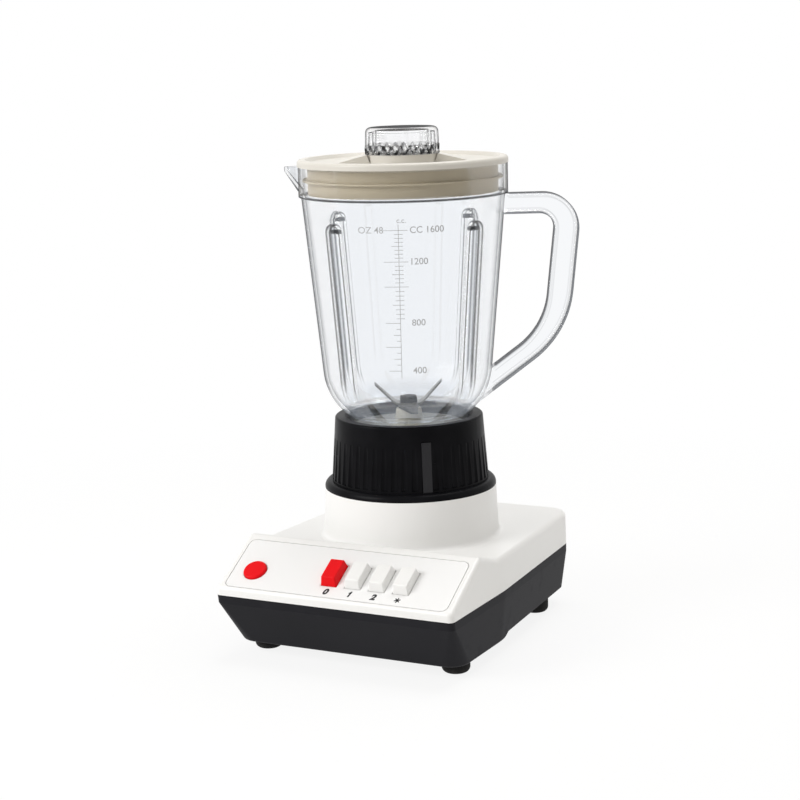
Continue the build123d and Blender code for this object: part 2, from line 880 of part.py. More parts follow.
def bracket(level, pillar_end, holes):
    """Motor end bracket with a hub for the bush, pillars to the stator and air windows."""
    with BuildPart() as plate:
        with BuildSketch(Plane.XY.offset(level)):
            RectangleRounded(2 * bracket_half_x, 2 * bracket_half_y, bracket_corner)
            with Locations((0, bracket_half_y), (0, -bracket_half_y)):
                Rectangle(2 * bracket_hub_radius, bracket_window, mode=Mode.SUBTRACT)
        extrude(amount=bracket_thick)
        with BuildSketch(Plane.XY.offset(level + bracket_thick / 2)):
            with Locations(*pillars):
                Circle(pillar_radius)
        extrude(amount=pillar_end - level - bracket_thick / 2)
        with BuildSketch(Plane.XY.offset(level - bush_over)):
            Circle(bracket_hub_radius)
        extrude(amount=bracket_thick + 2 * bush_over)
        with BuildSketch(Plane.XY.offset(level - bush_over)):
            Circle(bush_radius)
            with Locations(*holes):
                Circle(bolt_radius)
        extrude(amount=stack_z - lower_bracket_z + 2 * bush_over, both=True, mode=Mode.SUBTRACT)
    return plate


upper_bracket = bracket(upper_bracket_z, stack_top_z, pillars + hangers)
upper_bracket.part.label = "upper_bracket"
export_step(upper_bracket.part, "parts/upper_bracket.step")

lower_bracket = bracket(lower_bracket_z, stack_z, pillars)
lower_bracket.part.label = "lower_bracket"
export_step(lower_bracket.part, "parts/lower_bracket.step")

# Bronze bushes of the motor shaft, one in each bracket
with BuildPart() as shaft_bushes:
    for level in (lower_bracket_z, upper_bracket_z):
        with BuildSketch(Plane.XY.offset(level - bush_over)):
            Circle(bush_radius)
            Circle(shaft_radius + running_gap, mode=Mode.SUBTRACT)
        extrude(amount=bracket_thick + 2 * bush_over)
shaft_bushes.part.label = "shaft_bushes"
export_step(shaft_bushes.part, "parts/shaft_bushes.step")

# Carbon brushes and the holders that aim them at the commutator
brush_near = commutator_radius + brush_gap
brush_z = lower_bracket_z + bracket_thick + holder_wall + brush_height / 2
with BuildPart() as carbon_brushes:
    for side in (-1, 1):
        with Locations((0, side * (brush_near + brush_length / 2), brush_z)):
            Box(brush_width, brush_length, brush_height)
    with BuildSketch(Plane.XY.offset(brush_z - brush_height / 2)):
        Circle(brush_near)
    extrude(amount=brush_height, mode=Mode.SUBTRACT)
carbon_brushes.part.label = "carbon_brushes"
export_step(carbon_brushes.part, "parts/carbon_brushes.step")

with BuildPart() as brush_holders:
    for side in (-1, 1):
        with Locations((0, side * (brush_near + 2 * holder_wall + holder_length / 2), brush_z)):
            Box(brush_width + 2 * holder_wall, holder_length, brush_height + 2 * holder_wall)
            Box(brush_width, holder_length, brush_height, mode=Mode.SUBTRACT)
brush_holders.part.label = "brush_holders"
export_step(brush_holders.part, "parts/brush_holders.step")

# Long bolts through brackets and stator
with BuildPart() as stator_bolts:
    with BuildSketch(Plane.XY.offset(lower_bracket_z)):
        with Locations(*pillars):
            Circle(bolt_radius)
    extrude(amount=upper_bracket_z + bracket_thick - lower_bracket_z)
    with BuildSketch(Plane.XY.offset(lower_bracket_z)):
        with Locations(*pillars):
            RegularPolygon(screw_head_radius, 6)
    extrude(amount=-screw_head_thick)
stator_bolts.part.label = "stator_bolts"
export_step(stator_bolts.part, "parts/stator_bolts.step")

# Rubber rings and screws that hang the motor under the platform
with BuildPart() as motor_dampers:
    with BuildSketch(Plane.XY.offset(hanger_z)):
        with Locations(*hangers):
            Circle(hanger_radius)
            Circle(bolt_radius, mode=Mode.SUBTRACT)
    extrude(amount=-damper_thick)
motor_dampers.part.label = "motor_dampers"
export_step(motor_dampers.part, "parts/motor_dampers.step")

with BuildPart() as motor_screws:
    with BuildSketch(Plane.XY.offset(upper_bracket_z)):
        with Locations(*hangers):
            Circle(bolt_radius)
    extrude(amount=hanger_z + hanger_radius - upper_bracket_z)
    with BuildSketch(Plane.XY.offset(upper_bracket_z)):
        with Locations(*hangers):
            Circle(screw_head_radius)
    extrude(amount=-screw_head_thick)
motor_screws.part.label = "motor_screws"
export_step(motor_screws.part, "parts/motor_screws.step")


def lobed(level, play):
    """Section of the six-lobed drive at one level, grown by the play."""
    with BuildSketch(Plane.XY.offset(level)) as section:
        Circle(coupling_core + play)
        with PolarLocations(0, coupling_lobe_count):
            Rectangle(2 * (coupling_reach + play), coupling_lobe + 2 * play)
    return section.sketch


# Lobed drive coupling on the motor shaft, above the platform
with BuildPart() as drive_coupling:
    extrude(lobed(coupling_z, 0), amount=coupling_height)
    with BuildSketch(Plane.XY.offset(coupling_z)):
        Circle(shaft_radius)
    extrude(amount=coupling_height - air_gap, mode=Mode.SUBTRACT)
drive_coupling.part.label = "drive_coupling"
export_step(drive_coupling.part, "parts/drive_coupling.step")

# Driven coupling: the lobed socket under the jar, on the cutter's shaft
socket_top_z = coupling_z + coupling_height + coupling_play
with BuildPart() as driven_coupling:
    with BuildSketch(Plane.XY.offset(driven_z)):
        Circle(driven_radius)
    extrude(amount=driven_height)
    extrude(lobed(driven_z, coupling_play), amount=socket_top_z - driven_z, mode=Mode.SUBTRACT)
    with BuildSketch(Plane.XY.offset(driven_z)):
        Circle(shaft_radius)
    extrude(amount=driven_height, mode=Mode.SUBTRACT)
driven_coupling.part.label = "driven_coupling"
export_step(driven_coupling.part, "parts/driven_coupling.step")

# Black collar: flange on the pedestal, ribbed skirt, ledge that carries the cutter, bore for the jar's neck
collar_bore = neck_radius + seat_gap
collar_cavity = platform_radius + seat_gap
skirt_low_z = pedestal_z + flange_thick
skirt_high_z = collar_z - collar_rib_band
skirt_lean = (collar_low_radius - collar_top_radius) / (collar_z - skirt_low_z)
skirt_angle = Vector(1, skirt_lean, 0).get_angle(Vector(1, 0, 0))


def skirt_radius(level):
    """Outer radius of the collar's skirt at one level."""
    return collar_low_radius - skirt_lean * (level - skirt_low_z)


with BuildPart() as jar_collar:
    with BuildSketch(Plane.XZ) as section:
        with BuildLine():
            Polyline(
                (collar_cavity, pedestal_z),
                (flange_radius, pedestal_z),
                (flange_radius, skirt_low_z),
                (collar_low_radius, skirt_low_z),
                (collar_top_radius, collar_z),
                (collar_bore + collar_bevel, collar_z),
                (collar_bore, collar_z - collar_bevel),
                (collar_bore, ledge_z),
                (ledge_radius, ledge_z),
                (ledge_radius, ledge_z - ledge_thick),
                (collar_cavity, ledge_z - ledge_thick),
                close=True,
            )
        make_face()
        fillet(section.vertices().sort_by_distance((flange_radius, skirt_low_z))[0], flange_round)
        fillet(section.vertices().sort_by_distance((collar_top_radius, collar_z))[0], collar_round)
    revolve(axis=Axis.Z)
    # Shallow ribs below the smooth band, which run out towards it
    rib_middle = (skirt_low_z + skirt_high_z) / 2
    rib_reach = skirt_radius(rib_middle) + collar_rib_radius - collar_rib_depth
    with Locations((0, 0, rib_middle)):
        with PolarLocations(rib_reach, collar_rib_count):
            Cylinder(
                collar_rib_radius,
                skirt_high_z - skirt_low_z - collar_rib_radius,
                rotation=(0, collar_rib_tilt - skirt_angle, 0),
                mode=Mode.SUBTRACT,
            )
    # Grip bars
    bar_top_z = collar_z - grip_bar_top
    bar_middle_z = (skirt_low_z + bar_top_z) / 2
    with Locations((0, 0, bar_middle_z)):
        bar_start = jar_turn - 90 + grip_bar_turn
        with PolarLocations(skirt_radius(bar_middle_z), grip_bar_count, start_angle=bar_start):
            Box(2 * grip_bar_proud, grip_bar_width, bar_top_z - skirt_low_z, rotation=(0, -skirt_angle, 0))
    # Keys inside the skirt that drop into the platform's keyways
    with BuildSketch(Plane.XY.offset(pedestal_z + seat_gap)):
        with PolarLocations(collar_cavity, keyway_count, start_angle=180 / keyway_count):
            Rectangle(2 * (keyway_depth - seat_gap), keyway_width - 2 * seat_gap)
    extrude(amount=ledge_rise - ledge_thick / 2 - seat_gap)
jar_collar.part.label = "jar_collar"
export_step(jar_collar.part, "parts/jar_collar.step")

# Cream floor of the jar: flange on the ledge, raised floor, fluted hub and bearing boss
carrier_outer = neck_radius - jar_wall - carrier_gap
boss_radius = blade_bush_radius + boss_wall
boss_low_z = ledge_z - boss_drop
seal_z = hub_z - seal_recess
carrier_shape = turned(
    (blade_bush_radius, boss_low_z),
    (boss_radius, boss_low_z),
    (boss_radius, floor_z - floor_thick),
    (carrier_outer - carrier_wall, floor_z - floor_thick),
    (carrier_outer - carrier_wall, ledge_z),
    (neck_radius, ledge_z),
    (neck_radius, gasket_z),
    (carrier_outer, gasket_z),
    (carrier_outer, floor_z),
    (hub_low_radius, floor_z),
    (hub_top_radius, hub_z),
    (seal_radius, hub_z),
    (seal_radius, seal_z),
    (blade_bush_radius, seal_z),
)
with BuildPart() as blade_carrier:
    add(carrier_shape.part)
    with BuildSketch(Plane.XY.offset(floor_z)):
        with PolarLocations(hub_low_radius + hub_flute_radius - hub_flute_depth, hub_flute_count):
            Circle(hub_flute_radius)
    extrude(amount=hub_height, mode=Mode.SUBTRACT)
blade_carrier.part.label = "blade_carrier"
export_step(blade_carrier.part, "parts/blade_carrier.step")

blade_bush = tube(shaft_radius + running_gap, blade_bush_radius, boss_low_z, seal_z)
blade_bush.part.label = "blade_bush"
export_step(blade_bush.part, "parts/blade_bush.step")

shaft_seal = tube(shaft_radius + running_gap, seal_radius, seal_z, seal_z + seal_height)
shaft_seal.part.label = "shaft_seal"
export_step(shaft_seal.part, "parts/shaft_seal.step")

jar_gasket = tube(carrier_outer, neck_radius, gasket_z, neck_z)
jar_gasket.part.label = "jar_gasket"
export_step(jar_gasket.part, "parts/jar_gasket.step")

# Cutter: shaft, washer, two crossed blades and the domed nut
with BuildPart() as blade_shaft:
    with BuildSketch(Plane.XY.offset(socket_top_z)):
        Circle(shaft_radius)
    extrude(amount=nut_z + nut_height - nut_dome - socket_top_z)
blade_shaft.part.label = "blade_shaft"
export_step(blade_shaft.part, "parts/blade_shaft.step")

blade_washer = tube(shaft_radius, washer_radius, cutter_z, lower_blade_z)
blade_washer.part.label = "blade_washer"
export_step(blade_washer.part, "parts/blade_washer.step")


def blade(low, reach, lift, side_plane):
    """Two-armed blade of bent strip, its arms tapering to narrow tips above or below the flat."""
    arm = reach - blade_flat
    slant = blade_thick * (arm**2 + lift**2) ** 0.5 / arm
    plan_plane = Plane(origin=(0, 0, low), x_dir=side_plane.x_dir, z_dir=(0, 0, 1))
    with BuildPart() as strip:
        with BuildSketch(side_plane) as profile:
            with BuildLine():
                Polyline(
                    (-blade_flat, low),
                    (blade_flat, low),
                    (reach, low + lift),
                    (reach, low + lift + slant),
                    (blade_flat, low + blade_thick),
                    (-blade_flat, low + blade_thick),
                    (-reach, low + lift + slant),
                    (-reach, low + lift),
                    close=True,
                )
            make_face()
            for side in (-blade_flat, blade_flat):
                for level in (low, low + blade_thick):
                    fillet(profile.vertices().sort_by_distance((side, level))[0], blade_bend)
        extrude(amount=blade_width / 2, both=True)
        with BuildSketch(plan_plane):
            with BuildLine():
                Polyline(
                    (-reach, blade_tip_width - blade_width / 2),
                    (-reach, -blade_width / 2),
                    (blade_flat, -blade_width / 2),
                    (reach, blade_width / 2 - blade_tip_width),
                    (reach, blade_width / 2),
                    (-blade_flat, blade_width / 2),
                    close=True,
                )
            make_face()
        extrude(amount=abs(lift) + 2 * slant, both=True, mode=Mode.INTERSECT)
        with BuildSketch(plan_plane):
            Circle(shaft_radius)
        extrude(amount=blade_thick, mode=Mode.SUBTRACT)
    return strip


lower_blade = blade(lower_blade_z, lower_blade_reach, -lower_blade_drop, jar_cross)
lower_blade.part.label = "lower_blade"
export_step(lower_blade.part, "parts/lower_blade.step")

upper_blade = blade(upper_blade_z, upper_blade_reach, upper_blade_lift, jar_side)
upper_blade.part.label = "upper_blade"
export_step(upper_blade.part, "parts/upper_blade.step")

with BuildPart() as blade_nut:
    with BuildSketch(Plane.XY.offset(nut_z)):
        RegularPolygon(nut_flats / 2, 6, major_radius=False)
    extrude(amount=nut_height)
    fillet(blade_nut.faces().sort_by(Axis.Z)[-1].edges(), nut_dome)
    with BuildSketch(Plane.XY.offset(nut_z)):
        Circle(shaft_radius)
    extrude(amount=nut_height - nut_dome, mode=Mode.SUBTRACT)
blade_nut.part.label = "blade_nut"
export_step(blade_nut.part, "parts/blade_nut.step")

# Jar: the body's outline is drawn once and used for its outside and, drawn in by the wall, for its inside
shoulder_low_z = collar_z + shoulder_low_rise
wall_lean = (jar_top_radius - shoulder_radius) / (rim_band_z - shoulder_z)


def jar_form(wall, band_wall):
    """Body of the jar from neck to rim as a full solid, drawn in by a wall and by the rim band's wall."""
    with BuildPart() as form:
        with BuildSketch(Plane.XZ):
            with BuildLine():
                rise = Line((shoulder_radius - wall, shoulder_z), (jar_top_radius - wall, rim_band_z))
                shoulder = TangentArc(
                    rise @ 0,
                    (shoulder_low_radius - wall, shoulder_low_z + wall / 2),
                    tangent=-(rise % 0),
                )
                Polyline(
                    shoulder @ 1,
                    (neck_radius - wall, collar_z + neck_over + wall),
                    (neck_radius - wall, neck_z),
                    (0, neck_z),
                    (0, rim_z),
                    (rim_radius - band_wall, rim_z),
                    (rim_radius - band_wall, rim_band_z + band_wall),
                    rise @ 1,
                )
            make_face()
        revolve(axis=Axis.Z)
    return form


def flute_form(radius):
    """Four tilted round-ended rods along the wall that press the flutes into it."""
    top_z = rim_band_z - flute_top_drop
    reach = jar_top_radius - wall_lean * flute_top_drop + flute_radius - flute_depth
    with BuildPart() as form:
        for number in range(flute_count):
            turn = radians(jar_turn + (number + 0.5) * 360 / flute_count)
            top = Vector(reach * cos(turn), reach * sin(turn), top_z)
            down = Vector(-wall_lean * cos(turn), -wall_lean * sin(turn), -1)
            with BuildSketch(Plane(origin=top, z_dir=down)):
                Circle(radius)
            extrude(amount=top_z - neck_z)
            with Locations(top):
                Sphere(radius)
    return form


def spout_form(reach, half_width, height):
    """Pouring lip opposite the handle as a full solid."""
    with BuildPart() as form:
        with BuildSketch(jar_plan.offset(rim_z)) as plan:
            with BuildLine():
                Polyline(
                    (-shoulder_radius, half_width),
                    (-reach, 0),
                    (-shoulder_radius, -half_width),
                    close=True,
                )
            make_face()
            fillet(plan.vertices().sort_by_distance((-reach, 0))[0], spout_round)
        extrude(amount=-height)
        with BuildSketch(jar_side):
            with BuildLine():
                Polyline(
                    (-reach, rim_z),
                    (spout_run - reach, rim_z - height),
                    (-shoulder_radius, rim_z - height),
                    (-shoulder_radius, rim_z),
                    close=True,
                )
            make_face()
        extrude(amount=half_width, both=True, mode=Mode.INTERSECT)
    return form


jar_outside = jar_form(0, 0)
jar_inside = jar_form(jar_wall, rim_wall)
flutes_outside = flute_form(flute_radius)
flutes_inside = flute_form(flute_radius + jar_wall)
spout_outside = spout_form(spout_reach, spout_half_width, spout_height)
spout_inside = spout_form(spout_reach - spout_wall, spout_half_width - spout_wall, spout_height - spout_wall)

# Handle: a bar from the rim, a long grip and an arm that runs in to the shoulder
def inside_corner_of(corner, before, after, width_before, width_after):
    """Inside corner of two runs, set in from their outside corner by the width of each."""
    back = (before - corner).normalized()
    on = (after - corner).normalized()
    return corner + (back * width_after + on * width_before) / back.cross(on).length


bar_top = Vector(shoulder_radius, rim_band_z - handle_drop)
top_corner = Vector(handle_reach, rim_band_z - handle_drop)
knee = Vector(knee_reach, collar_z + knee_rise)
arm_root = Vector(shoulder_low_radius, collar_z + root_rise)
inner_top = inside_corner_of(top_corner, bar_top, knee, handle_bar, handle_grip)
inner_knee = inside_corner_of(knee, top_corner, arm_root, handle_grip, handle_arm)
inner_root = arm_root + Vector(0, handle_arm / (knee - arm_root).normalized().X)
with BuildPart() as handle_form:
    with BuildSketch(jar_side) as section:
        with BuildLine():
            Polyline(
                bar_top,
                top_corner,
                knee,
                arm_root,
                inner_root,
                inner_knee,
                inner_top,
                bar_top - Vector(0, handle_bar),
                close=True,
            )
        make_face()
        for corner, round_radius in (
            (top_corner, handle_corner),
            (inner_top, handle_corner - handle_bar),
            (knee, knee_round),
            (inner_knee, knee_round - handle_grip),
        ):
            fillet(section.vertices().sort_by_distance(corner)[0], round_radius)
    extrude(amount=handle_width / 2, both=True)
    fillet(handle_form.faces().filter_by(jar_side).edges().filter_by(Axis.Z, reverse=True), handle_edge)

with BuildPart() as jar_hollow:
    add(jar_inside.part)
    add(flutes_inside.part, mode=Mode.SUBTRACT)
    add(spout_inside.part)

with BuildPart() as jar:
    add(jar_outside.part)
    add(flutes_outside.part, mode=Mode.SUBTRACT)
    add(spout_outside.part)
    add(handle_form.part)
    add(jar_hollow.part, mode=Mode.SUBTRACT)
jar.part.label = "jar"
export_step(jar.part, "parts/jar.step")

# Cream lid: rim lip, dished top, skirt with a seal groove, and the sleeve and collar that hold the cap
skirt_outer = rim_radius - rim_wall - skirt_gap
skirt_inner = skirt_outer - lid_wall
dish_edge_z = lip_z - dish_drop
dish_z = dish_edge_z - dish_fall
lip_inner = lip_radius - lip_width
groove_z = rim_z - seal_drop
groove_radius = skirt_outer - wiper_bite
wiper_radius = rim_radius - rim_wall - wiper_gap
with BuildPart() as lid:
    with BuildSketch(Plane.XZ) as section:
        with BuildLine():
            Polyline(
                (cap_bore, cap_z),
                (cap_collar_radius, cap_z),
                (cap_collar_radius, dish_z),
                (lip_inner, dish_edge_z),
                (lip_inner + dish_drop, lip_z),
                (lip_radius, lip_z),
                (lip_radius, rim_z),
                (skirt_outer, rim_z),
                (skirt_outer, rim_z - skirt_depth),
                (skirt_inner - lid_wall, rim_z - skirt_depth),
                (skirt_inner - lid_wall, dish_edge_z - lid_wall),
                (cap_bore + lid_wall, dish_z - lid_wall),
                (cap_bore + lid_wall, rim_z - sleeve_depth),
                (cap_bore, rim_z - sleeve_depth),
                close=True,
            )
        make_face()
        fillet(section.vertices().sort_by_distance((lip_radius, lip_z))[0], lip_round)
    revolve(axis=Axis.Z)
    # Two wings from the cap's collar down to the dish
    with BuildSketch(jar_side):
        for side in (-1, 1):
            with BuildLine():
                Polyline(
                    (side * cap_bore, dish_z - lid_wall),
                    (side * cap_collar_radius, cap_z),
                    (side * wing_reach, dish_edge_z),
                    (side * wing_reach, dish_z - lid_wall),
                    close=True,
                )
            make_face()
    extrude(amount=wing_width / 2, both=True)
    with BuildSketch(Plane.XY.offset(rim_z - sleeve_depth)):
        Circle(cap_bore)
    extrude(amount=sleeve_depth + cap_collar_rise, mode=Mode.SUBTRACT)
    # Groove of the seal
    with BuildSketch(Plane.XY.offset(groove_z - wiper_thick)):
        Circle(lip_radius)
        Circle(groove_radius, mode=Mode.SUBTRACT)
    extrude(amount=wiper_thick, mode=Mode.SUBTRACT)
lid.part.label = "lid"
export_step(lid.part, "parts/lid.step")

# Thin wiper ring in the skirt's groove, close to the jar's rim
lid_seal = tube(groove_radius, wiper_radius, groove_z - wiper_thick, groove_z)
lid_seal.part.label = "lid_seal"
export_step(lid_seal.part, "parts/lid_seal.step")

# Clear measuring cap: knob with an inner cup that plugs into the lid's sleeve
cap_top_z = cap_z + cap_height
cup_radius = cap_bore - cap_gap
with BuildPart() as measuring_cap:
    with BuildSketch(Plane.XZ) as section:
        with BuildLine():
            Polyline(
                (0, cap_top_z),
                (cap_top_radius, cap_top_z),
                (cap_radius, cap_z),
                (cap_radius - cap_wall, cap_z),
                (cap_top_radius - cap_wall, cap_top_z - cap_round),
                (cup_radius, cap_top_z - cap_round),
                (cup_radius, cap_z - cap_plug_depth),
                (cup_radius - cap_wall, cap_z - cap_plug_depth),
                (cup_radius - cap_wall, cap_top_z - cap_wall),
                (0, cap_top_z - cap_wall),
                close=True,
            )
        make_face()
        fillet(section.vertices().sort_by_distance((cap_top_radius, cap_top_z))[0], cap_round)
    revolve(axis=Axis.Z)
measuring_cap.part.label = "measuring_cap"
export_step(measuring_cap.part, "parts/measuring_cap.step")
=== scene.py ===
from math import cos, radians, sin

import bpy
from mathutils import Matrix, Vector


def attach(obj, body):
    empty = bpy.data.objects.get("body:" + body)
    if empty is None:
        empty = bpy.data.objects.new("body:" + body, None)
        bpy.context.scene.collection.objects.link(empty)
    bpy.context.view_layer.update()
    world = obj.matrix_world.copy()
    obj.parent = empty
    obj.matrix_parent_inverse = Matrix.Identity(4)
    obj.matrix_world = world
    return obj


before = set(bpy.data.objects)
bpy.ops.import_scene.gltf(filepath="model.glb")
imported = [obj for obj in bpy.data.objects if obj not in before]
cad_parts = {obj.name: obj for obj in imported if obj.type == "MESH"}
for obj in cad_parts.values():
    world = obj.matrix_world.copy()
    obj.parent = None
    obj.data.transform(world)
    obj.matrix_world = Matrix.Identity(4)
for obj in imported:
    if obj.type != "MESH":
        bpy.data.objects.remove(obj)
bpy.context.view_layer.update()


# Lower casing: a deep pan moulded in charcoal plastic, with a fine spark-eroded grain outside.
# It stands on four feet and closes the base from below under four long screws.


class Shade:
    """A value on its way through a material's nodes, so that shader maths reads as arithmetic."""

    def __init__(self, tree, socket=None):
        self.tree = tree
        self.socket = socket

    def node(self, kind, inputs, output=0, **settings):
        made = self.tree.nodes.new("ShaderNode" + kind)
        for name, value in settings.items():
            setattr(made, name, value)
        for name, value in inputs.items():
            if isinstance(value, Shade):
                self.tree.links.new(value.socket, made.inputs[name])
            else:
                made.inputs[name].default_value = value
        return Shade(self.tree, made.outputs[output])

    def math(self, operation, first, second):
        return self.node("Math", {0: first, 1: second}, operation=operation)

    def __add__(self, other):
        return self.math("ADD", self, other)

    def __radd__(self, other):
        return self.math("ADD", other, self)

    def __sub__(self, other):
        return self.math("SUBTRACT", self, other)

    def __rsub__(self, other):
        return self.math("SUBTRACT", other, self)

    def __mul__(self, other):
        return self.math("MULTIPLY", self, other)

    def __rmul__(self, other):
        return self.math("MULTIPLY", other, self)

    def __pow__(self, other):
        return self.math("POWER", self, other)

    def __abs__(self):
        return self.math("ABSOLUTE", self, 0)

    def least(self, other):
        return self.math("MINIMUM", self, other)

    def most(self, other):
        return self.math("MAXIMUM", self, other)

    def noise(self, scale, detail):
        """Clouds of one size, where this is a place."""
        return self.node("TexNoise", {"Vector": self, "Scale": scale, "Detail": detail})

    def stretched(self, along):
        """The place drawn out by a scale on each axis."""
        return self.node("Mapping", {"Vector": self, "Scale": along})

    def part(self, number):
        """One axis of the place."""
        return self.node("SeparateXYZ", {0: self}, output=number)

    def axes(self):
        """All three axes of the place."""
        return [self.part(number) for number in range(3)]

    def span(self, other):
        """Length of two legs that meet at a right angle."""
        return (self * self + other * other) ** 0.5

    def direct_rays(self):
        """1 where the eye sees this straight, in a mirror or through something clear."""
        kinds = ("Is Camera Ray", "Is Glossy Ray", "Is Transmission Ray")
        seen, mirrored, bent = [self.node("LightPath", {}, output=kind) for kind in kinds]
        return (seen + mirrored + bent).least(1.0)

    def fade(self, low, high):
        """0 at the low value and 1 at the high one."""
        return self.node("MapRange", {"Value": self, "From Min": low, "From Max": high})

    def blend(self, first, second):
        """From the first colour at 0 to the second at 1."""
        return self.node("Mix", {0: self, 6: first, 7: second}, output=2, data_type="RGBA")

    def bump(self, strength, distance):
        """A surface raised where this is high."""
        return self.node("Bump", {"Height": self, "Strength": strength, "Distance": distance})


def begin_finish(name, constants):
    """A new material with the sockets set that are the same all over, and its Object coordinates."""
    material = bpy.data.materials.new(name)
    material.use_nodes = True
    for socket, value in constants.items():
        material.node_tree.nodes["Principled BSDF"].inputs[socket].default_value = value
    spot = Shade(material.node_tree).node("TexCoord", {}, output="Object")
    return material, spot


def end_finish(material, varying):
    """Links what changes over the surface."""
    surface = material.node_tree.nodes["Principled BSDF"]
    for socket, shade in varying.items():
        material.node_tree.links.new(shade.socket, surface.inputs[socket])


def dress(material, *pieces):
    """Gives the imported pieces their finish."""
    for piece in pieces:
        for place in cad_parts[piece].material_slots:
            place.material = material


charcoal, spot = begin_finish("casing_charcoal", {"Specular IOR Level": 0.07})
drift = spot.noise(16, 3)
grain = spot.noise(2400, 2)
rub = spot.noise(70, 6).fade(0.56, 0.74)
end_finish(charcoal, {
    "Base Color": (drift * 0.7 + rub * 0.3).blend((0.012, 0.012, 0.0145, 1), (0.022, 0.022, 0.026, 1)),
    "Roughness": 0.42 + grain * 0.14 + rub * 0.08,
    "Normal": grain.bump(0.3, 0.00004),
})
dress(charcoal, "lower_housing")


# Feet and cord bush: black rubber plugs, moulded and pushed through the casing's holes.
# The soles are rubbed paler and hold some dust, and the bush keeps the cord's hole.
rubber, spot = begin_finish("foot_rubber", {"Specular IOR Level": 0.12})
height = spot.part(2)
pores = spot.noise(1500, 3)
dust = (1 - height.fade(0.0005, 0.005)) * spot.noise(260, 4).fade(0.4, 0.65)
end_finish(rubber, {
    "Base Color": (dust * 0.5 + pores * 0.25).blend((0.009, 0.009, 0.01, 1), (0.09, 0.088, 0.084, 1)),
    "Roughness": 0.62 + pores * 0.2 + dust * 0.1,
    "Normal": pores.bump(0.4, 0.00006),
})
dress(rubber, "feet", "cord_inlet")


# Casing screws: zinc-plated steel, rolled and headed, sunk deep in the lower bosses.
# The plating is pale and a little cloudy, with turning marks round each head.
zinc, spot = begin_finish("screw_zinc", {"Metallic": 1.0})
cloud = spot.noise(180, 4)
turning = spot.stretched((1, 1, 8)).noise(900, 2)
end_finish(zinc, {
    "Base Color": cloud.blend((0.62, 0.63, 0.64, 1), (0.42, 0.42, 0.41, 1)),
    "Roughness": 0.26 + cloud * 0.2,
    "Normal": turning.bump(0.25, 0.00003),
})
dress(zinc, "housing_screws", "stator_bolts", "motor_screws")


# Motor shaft: bright drawn steel, ground round, pressed into everything that turns with it.
# Grinding leaves fine rings round it, and the cutter's shaft is finished alike.
steel, spot = begin_finish("shaft_steel", {"Metallic": 1.0})
rings = spot.stretched((0.2, 0.2, 6)).noise(700, 3)
end_finish(steel, {
    "Base Color": rings.blend((0.56, 0.56, 0.55, 1), (0.7, 0.7, 0.69, 1)),
    "Roughness": 0.16 + rings * 0.16,
    "Normal": rings.bump(0.2, 0.00002),
})
dress(steel, "motor_shaft", "blade_shaft")


# Rotor and stator stacks: half-millimetre steel sheets, stamped, varnished and riveted together.
# The cut edges show as fine lines up the stack, with some bloom of rust.
stack, spot = begin_finish("stamped_stack", {"Metallic": 0.85})
sheet = spot.node("TexWave", {"Vector": spot, "Scale": 320.0, "Distortion": 0.3}, output="Fac",
                  wave_type="BANDS", bands_direction="Z")
rust = spot.noise(120, 6).fade(0.55, 0.72)
end_finish(stack, {
    "Base Color": rust.blend((0.2, 0.2, 0.21, 1), (0.17, 0.085, 0.045, 1)),
    "Roughness": 0.38 + rust * 0.35 + sheet * 0.1,
    "Normal": sheet.bump(0.5, 0.00015),
})
dress(stack, "rotor_core", "stator_core")


# Windings and commutator: enamelled copper wire wound in close turns, and drawn copper bars.
# The wire lies side by side, its enamel reddish brown and glossy.
copper, spot = begin_finish("wound_copper", {"Metallic": 0.9, "Coat Weight": 0.4})
wire = {"Vector": spot, "Scale": 260.0, "Distortion": 1.2, "Detail": 1.0}
strand = spot.node("TexWave", wire, output="Fac", wave_type="BANDS", bands_direction="DIAGONAL")
tarnish = spot.noise(90, 4)
end_finish(copper, {
    "Base Color": tarnish.blend((0.68, 0.27, 0.12, 1), (0.4, 0.13, 0.06, 1)),
    "Roughness": 0.24 + tarnish * 0.16,
    "Normal": strand.bump(0.6, 0.0002),
})
dress(copper, "rotor_windings", "stator_windings", "commutator")


# Motor brackets: die-cast alloy, pale and sandy, with the bronze bushes and brush boxes pressed in.
# Long bolts clamp the two of them on the stator.
alloy, spot = begin_finish("bracket_alloy", {"Metallic": 0.9})
sand = spot.noise(1100, 3)
cast = spot.noise(45, 4)
end_finish(alloy, {
    "Base Color": cast.blend((0.5, 0.51, 0.52, 1), (0.36, 0.36, 0.37, 1)),
    "Roughness": 0.42 + sand * 0.2,
    "Normal": sand.bump(0.4, 0.00008),
})
dress(alloy, "upper_bracket", "lower_bracket")

bronze, spot = begin_finish("bush_bronze", {"Metallic": 1.0})
pores = spot.noise(1600, 3)
oil = spot.noise(160, 4).fade(0.4, 0.7)
end_finish(bronze, {
    "Base Color": oil.blend((0.52, 0.33, 0.14, 1), (0.3, 0.18, 0.08, 1)),
    "Roughness": 0.42 - oil * 0.18,
    "Normal": pores.bump(0.3, 0.00004),
})
dress(bronze, "shaft_bushes", "blade_bush", "brush_holders")


# Brushes: pressed carbon blocks, dull grey black and dusty.
# They sit in the bronze boxes and bear on the commutator.
carbon, spot = begin_finish("brush_carbon", {"Specular IOR Level": 0.25})
grit = spot.noise(1900, 4)
end_finish(carbon, {
    "Base Color": grit.blend((0.012, 0.012, 0.013, 1), (0.05, 0.05, 0.052, 1)),
    "Roughness": 0.6 + grit * 0.25,
    "Normal": grit.bump(0.5, 0.00006),
})
dress(carbon, "carbon_brushes")


